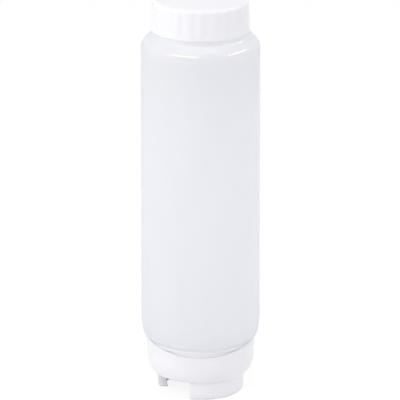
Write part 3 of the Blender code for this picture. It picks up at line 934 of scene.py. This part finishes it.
def rim_outline(cap, rim_r, rim_bore_r, rim_z):
    """The top of the bowl's wall, up its bore, over the rounded rim and down its outside."""
    low_z = bowl_rim_z() - cap.straight * RIM_SHARE

    def rising(low_r, high_r, high_z):
        """Points on a wall that goes over from one radius to another as it rises."""
        parts = [row / RIM_ROWS for row in range(RIM_ROWS + 1)]
        return [
            (low_r + (high_r - low_r) * eased(part), low_z + (high_z - low_z) * part)
            for part in parts
        ]

    edge = cap.rim_round / 2
    path = rising(BOWL_R - cap.wall, rim_bore_r, rim_z - edge)
    path += arc((rim_bore_r + edge, rim_z - edge), edge, IN, UP, steps=4)[1:]
    top_z = rim_z - cap.rim_round
    path += arc((rim_r - cap.rim_round, top_z), cap.rim_round, UP, OUT, steps=6)
    return path + rising(BOWL_R, rim_r, top_z)[-2::-1]


def bowl_outline(cap):
    """The dispensing cap below its rim, from the outside round to the bore, without its legs."""
    under = FOOT_Z + cap.leg_height
    floor = under + cap.floor
    ledge = floor + cap.ledge_rise
    boss_top = floor + cap.boss_height
    curve_z = bowl_rim_z() - cap.straight
    middle = (cap.skirt_r, curve_z)
    path = arc(middle, BOWL_R - cap.skirt_r, OUT, UNDER, steps=24, height=curve_z - under)
    path += [(cap.outlet_r + cap.outlet_chamfer, under)]
    path += [(cap.outlet_r, under + cap.outlet_chamfer), (cap.outlet_r, floor)]
    path += [(cap.boss_bore_r, floor), (cap.boss_bore_r, boss_top)]
    path += [(cap.boss_r, boss_top), (cap.boss_r, floor)]
    path += [(cap.ledge_inner_r, floor), (cap.ledge_inner_r, ledge)]
    path += [(BOWL_R - cap.wall - cap.draft, ledge)]
    return soften(path, cap.edge_round, closed=False)


class BOTTLE_OT_dispensing_cap(Operator):
    """Build the dispensing cap with its legs and thread, its gasket and the valve's retainer"""

    bl_idname = "squeeze_bottle.dispensing_cap"
    bl_label = "Dispensing cap"

    def execute(self, context):
        cap = context.scene.bottle_dispensing
        material = white_polypropylene()
        lower = bowl_outline(cap)
        front = rim_outline(cap, BOWL_R, BOWL_R - cap.rim_wall, bowl_rim_z()) + lower
        side = rim_outline(cap, CHEEK_R, CHEEK_R - cap.cheek_wall, CHEEK_TOP_Z) + lower
        bowl = turned("dispensing_bowl", front, side=side)
        for index in range(cap.legs):
            joined(bowl, leg(cap, index))
        cleaned(bowl)
        dressed(bowl, "dispensing_closure", material, "white_cap", "dispensing_cap")
        half_pitch = context.scene.bottle_thread.pitch / 2
        bead = thread(
            "dispensing_cap_thread", BOWL_R - cap.wall - cap.draft / 2, False,
            NECK_LOW_Z + LOWER_MOUTH_ROOM + half_pitch, bowl_rim_z() - BOWL_THREAD_ROOM,
            LOWER_THREAD_START,
        )
        dressed(bead, "dispensing_closure", material, "white_cap")

        low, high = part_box("neck_gasket")
        inner_r = cap.ledge_inner_r + GASKET_ROOM
        ring = [(inner_r, high.z), (high.x, high.z), (high.x, low.z), (inner_r, low.z)]
        gasket = turned("ring_gasket", soften(ring, GASKET_ROUND))
        dressed(gasket, "dispensing_seal", pale_foam(), "pale_seal", "neck_gasket")

        low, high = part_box("valve_retainer")
        lip_low = FOOT_Z + cap.leg_height + cap.floor + cap.boss_height + LIP_ROOM
        plug_r = cap.boss_bore_r - PLUG_ROOM
        bore_r = cap.outlet_r + RETAINER_ROOM
        ring = [(bore_r + RETAINER_CHAMFER, high.z), (high.x, high.z), (high.x, lip_low)]
        ring += [(plug_r, lip_low), (plug_r, low.z)]
        ring += [(bore_r, low.z), (bore_r, high.z - RETAINER_CHAMFER)]
        retainer = turned("press_in_retainer", soften(ring, RETAINER_ROUND))
        dressed(retainer, "dispensing_closure", material, "white_cap", "valve_retainer")
        return {"FINISHED"}


class BOTTLE_OT_valve(Operator):
    """Build the silicone slit valve and its four flaps"""

    bl_idname = "squeeze_bottle.valve"
    bl_label = "Slit valve"

    def execute(self, context):
        material = clear_silicone()
        bodies = frame["record"]["behaviour"]["bodies"]
        homes = {node: body for body, nodes in bodies.items() for node in nodes}
        for node in sorted(name for name in frame["nodes"] if name.startswith("valve_")):
            if node == "valve_retainer":
                continue
            shape = bmesh.new()
            shape.from_mesh(frame["nodes"][node].data)
            bmesh.ops.remove_doubles(shape, verts=shape.verts, dist=VALVE_MERGE)
            bmesh.ops.dissolve_limit(
                shape, angle_limit=VALVE_FLAT, verts=shape.verts, edges=shape.edges
            )
            piece = settle("silicone_" + node, shape)
            rounded(piece, VALVE_ROUND, VALVE_EDGE_STEPS, CORNER_ANGLE)
            dressed(piece, homes[node], material, "clear_silicone", node)
        return {"FINISHED"}


def looking(nodes):
    """1 for rays that show the background: from the camera, in reflections and through glass."""
    path = nodes.add("ShaderNodeLightPath")
    seen = nodes.larger(path.outputs["Is Camera Ray"], path.outputs["Is Glossy Ray"])
    return nodes.larger(seen, path.outputs["Is Transmission Ray"])


def cleared_nodes(owner):
    """The emptied node tree of a material or a world."""
    owner.use_nodes = True
    owner.node_tree.nodes.clear()
    return Nodes(owner.node_tree)


def pale_floor(stage):
    """Floor material: pale, with the bottle's shadow, lifted towards white where looked at."""
    material = bpy.data.materials.new("pale_floor")
    nodes = cleared_nodes(material)
    output = nodes.add("ShaderNodeOutputMaterial")
    plain = nodes.add("ShaderNodeBsdfDiffuse", Color=(*stage.floor_tint, 1.0))
    shadow = nodes.add("ShaderNodeBsdfDiffuse", Color=(stage.floor_shadow,) * 3 + (1.0,))
    lift = 1.0 - FLOOR_LIGHT * stage.floor_shadow
    white = nodes.add("ShaderNodeEmission", Color=WHITE, Strength=lift)
    seen = nodes.add("ShaderNodeAddShader", shadow.outputs["BSDF"], white.outputs["Emission"])
    surface = nodes.mixed(looking(nodes), plain.outputs["BSDF"], seen.outputs["Shader"])
    nodes.feed(output, Surface=surface)
    return material


def even_sky(stage):
    """World: an even pale light, white where it is looked at."""
    world = bpy.data.worlds.new("even_sky")
    nodes = cleared_nodes(world)
    output = nodes.add("ShaderNodeOutputWorld")
    light = nodes.add("ShaderNodeBackground", Color=WHITE, Strength=stage.sky)
    white = nodes.add("ShaderNodeBackground", Color=WHITE, Strength=1.0)
    surface = nodes.mixed(
        looking(nodes), light.outputs["Background"], white.outputs["Background"]
    )
    nodes.feed(output, Surface=surface)
    bpy.context.scene.world = world


def softbox(stage, name, kind, direction):
    """A rectangular lamp of a kind that looks at the bottle from a direction."""
    lamp = bpy.data.lights.new(name, "AREA")
    lamp.shape = "RECTANGLE"
    lamp.size = getattr(stage, kind + "_width")
    lamp.size_y = getattr(stage, kind + "_height")
    lamp.energy = getattr(stage, kind + "_power")
    box = bpy.data.objects.new(name, lamp)
    aim = Vector((0.0, 0.0, stage.lamp_aim_z))
    box.location = aim + Vector(direction).normalized() * stage.lamp_distance
    box.rotation_euler = (aim - box.location).to_track_quat("-Z", "Y").to_euler()
    bpy.context.scene.collection.objects.link(box)
    return box


def photo_camera(stage):
    """The camera, at the angle and scale that the bottle is seen from."""
    camera = bpy.data.cameras.new("photo_camera")
    camera.sensor_width = SENSOR_WIDTH
    camera.lens = stage.scale * stage.view_distance * SENSOR_WIDTH / IMAGE_WIDTH
    camera.clip_end = VIEW_END
    eye = bpy.data.objects.new("photo_camera", camera)
    back = Vector((0.0, -math.cos(stage.view_rise), math.sin(stage.view_rise)))
    eye.location = Vector((stage.aim_x, 0.0, stage.aim_z)) + back * stage.view_distance
    eye.rotation_euler = (-back).to_track_quat("-Z", "Y").to_euler()
    bpy.context.scene.collection.objects.link(eye)
    return eye


class BOTTLE_OT_stage(Operator):
    """Lay the floor, set up the light and place the camera"""

    bl_idname = "squeeze_bottle.stage"
    bl_label = "Stage"

    def execute(self, context):
        stage = context.scene.bottle_stage
        shape = bmesh.new()
        bmesh.ops.create_grid(
            shape, x_segments=FLOOR_CELLS, y_segments=FLOOR_CELLS, size=stage.floor_size / 2
        )
        floor = settle("pale_floor", shape)
        floor.location.z = FOOT_Z - FLOOR_GAP
        floor.data.materials.append(pale_floor(stage))
        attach(floor, "dispensing_seal")
        even_sky(stage)
        for name, kind, direction in LAMPS:
            box = softbox(stage, name, kind, direction)
            box.visible_glossy = kind not in DULL_LAMPS
            box.visible_diffuse = box.visible_transmission = kind not in GLOSS_LAMPS
        context.scene.camera = photo_camera(stage)
        context.scene.view_settings.view_transform = "Standard"
        return {"FINISHED"}


OPERATORS = (
    BOTTLE_OT_body, BOTTLE_OT_refill_cap, BOTTLE_OT_dispensing_cap, BOTTLE_OT_valve,
    BOTTLE_OT_stage,
)
SETTINGS = {
    "bottle_body": BottleSettings,
    "bottle_thread": ThreadSettings,
    "bottle_refill": RefillCapSettings,
    "bottle_dispensing": DispensingCapSettings,
    "bottle_finish": FinishSettings,
    "bottle_stage": StageSettings,
}


class BOTTLE_PT_sidebar(Panel):
    """Lists the pieces of the squeeze bottle"""

    bl_idname = "BOTTLE_PT_sidebar"
    bl_label = "Squeeze Bottle"
    bl_space_type = "VIEW_3D"
    bl_region_type = "UI"
    bl_category = "Squeeze Bottle"

    def draw(self, context):
        for operator in OPERATORS:
            self.layout.operator(operator.bl_idname)
        for name, kind in SETTINGS.items():
            box = self.layout.box()
            box.label(text=kind.__doc__)
            for key in kind.__annotations__:
                box.prop(getattr(context.scene, name), key)


def register():
    """Register the settings, the operators and the panel."""
    for name, kind in SETTINGS.items():
        bpy.utils.register_class(kind)
        setattr(bpy.types.Scene, name, PointerProperty(type=kind))
    for kind in (*OPERATORS, BOTTLE_PT_sidebar):
        bpy.utils.register_class(kind)


def unregister():
    """Take the panel, the operators and the settings out again."""
    for kind in (BOTTLE_PT_sidebar, *reversed(OPERATORS)):
        bpy.utils.unregister_class(kind)
    for name, kind in reversed(SETTINGS.items()):
        delattr(bpy.types.Scene, name)
        bpy.utils.unregister_class(kind)


def main():
    """Build every piece and the stage."""
    register()
    bpy.ops.squeeze_bottle.body()
    bpy.ops.squeeze_bottle.refill_cap()
    bpy.ops.squeeze_bottle.dispensing_cap()
    bpy.ops.squeeze_bottle.valve()
    bpy.ops.squeeze_bottle.stage()


if __name__ == "__main__":
    main()
